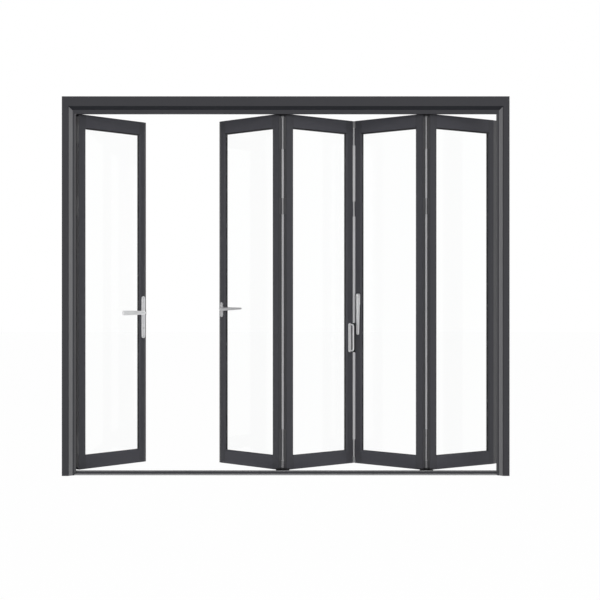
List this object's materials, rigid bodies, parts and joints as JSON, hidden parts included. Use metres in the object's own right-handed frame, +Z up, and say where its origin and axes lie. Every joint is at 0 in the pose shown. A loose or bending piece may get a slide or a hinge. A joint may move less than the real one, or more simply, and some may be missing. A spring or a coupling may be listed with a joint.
{
  "type": "folding door",
  "caption": "Framed aluminium folding door: a swing leaf on the left, glazed leaves folded in a zigzag to the right.",
  "frame": {"origin": "middle of the door's width on the frame's underside, in the plane of the closed leaves' inner face", "axes": "+X to the right seen from inside, +Y outward, the way the leaves fold, +Z up"},
  "size_m": [2.83, 0.488, 2.4],
  "materials": {
    "graphite_frame": "satin",
    "clear_glass": "polished",
    "satin_silver": "satin",
    "black_plastic": "matte"
  },
  "bodies": {
    "frame_and_folded_leaves": {"frame_head": "graphite_frame", "frame_left_jamb": "graphite_frame", "frame_right_jamb": "graphite_frame", "frame_sill": "graphite_frame", "leaf2_left_stile": "graphite_frame", "leaf2_right_stile": "graphite_frame", "leaf2_top_rail": "graphite_frame", "leaf2_bottom_rail": "graphite_frame", "leaf2_glass": "clear_glass", "leaf3_left_stile": "graphite_frame", "leaf3_right_stile": "graphite_frame", "leaf3_top_rail": "graphite_frame", "leaf3_bottom_rail": "graphite_frame", "leaf3_glass": "clear_glass", "leaf4_left_stile": "graphite_frame", "leaf4_right_stile": "graphite_frame", "leaf4_top_rail": "graphite_frame", "leaf4_bottom_rail": "graphite_frame", "leaf4_glass": "clear_glass", "leaf5_left_stile": "graphite_frame", "leaf5_right_stile": "graphite_frame", "leaf5_top_rail": "graphite_frame", "leaf5_bottom_rail": "graphite_frame", "leaf5_glass": "clear_glass", "fold_a_hinge_1": "satin_silver", "fold_a_hinge_2": "satin_silver", "fold_a_hinge_3": "satin_silver", "fold_b_hinge_1": "satin_silver", "fold_b_hinge_2": "satin_silver", "fold_b_hinge_3": "satin_silver", "fold_c_hinge_1": "satin_silver", "fold_c_hinge_2": "satin_silver", "fold_c_hinge_3": "satin_silver", "jamb_hinge_1": "satin_silver", "jamb_hinge_2": "satin_silver", "jamb_hinge_3": "satin_silver", "track_carrier_a": "black_plastic", "track_carrier_c": "black_plastic", "sill_guide_a": "black_plastic", "sill_guide_c": "black_plastic", "lead_plate": "satin_silver", "pull_handle": "satin_silver", "drop_base": "satin_silver"},
    "swing_leaf": {"leaf1_left_stile": "graphite_frame", "leaf1_right_stile": "graphite_frame", "leaf1_top_rail": "graphite_frame", "leaf1_bottom_rail": "graphite_frame", "leaf1_glass": "clear_glass", "swing_hinge_1": "satin_silver", "swing_hinge_2": "satin_silver", "swing_hinge_3": "satin_silver", "swing_plate_inside": "satin_silver", "swing_plate_outside": "satin_silver"},
    "swing_levers": {"swing_lever_inside": "satin_silver", "swing_lever_outside": "satin_silver"},
    "lead_lever_body": {"lead_lever": "satin_silver"},
    "drop_lever_body": {"drop_lever": "satin_silver"}
  },
  "joints": [
    {"name": "swing_leaf_hinge", "type": "hinge", "parent": "frame_and_folded_leaves", "child": "swing_leaf", "pos_m": [-1.3535, 0.0385, 1.1], "axis": [0, 0, 1], "range_deg": [-46.5, 43.5]},
    {"name": "swing_lever_turn", "type": "hinge", "parent": "swing_leaf", "child": "swing_levers", "pos_m": [-0.97228, 0.3843, 1.026], "axis": [0.7254, -0.6884, 0], "range_deg": [0, 45], "stiffness_Nm_per_rad": 1, "springref_deg": -34.38},
    {"name": "lead_lever_turn", "type": "hinge", "parent": "frame_and_folded_leaves", "child": "lead_lever_body", "pos_m": [-0.43724, 0.33667, 1.051], "axis": [0.6428, 0.766, 0], "range_deg": [0, 45], "stiffness_Nm_per_rad": 1, "springref_deg": -34.38},
    {"name": "drop_lever_turn", "type": "hinge", "parent": "frame_and_folded_leaves", "child": "drop_lever_body", "pos_m": [0.46981, 0.31047, 1.13], "axis": [-0.6018, -0.7986, 0], "range_deg": [0, 90]}
  ]
}
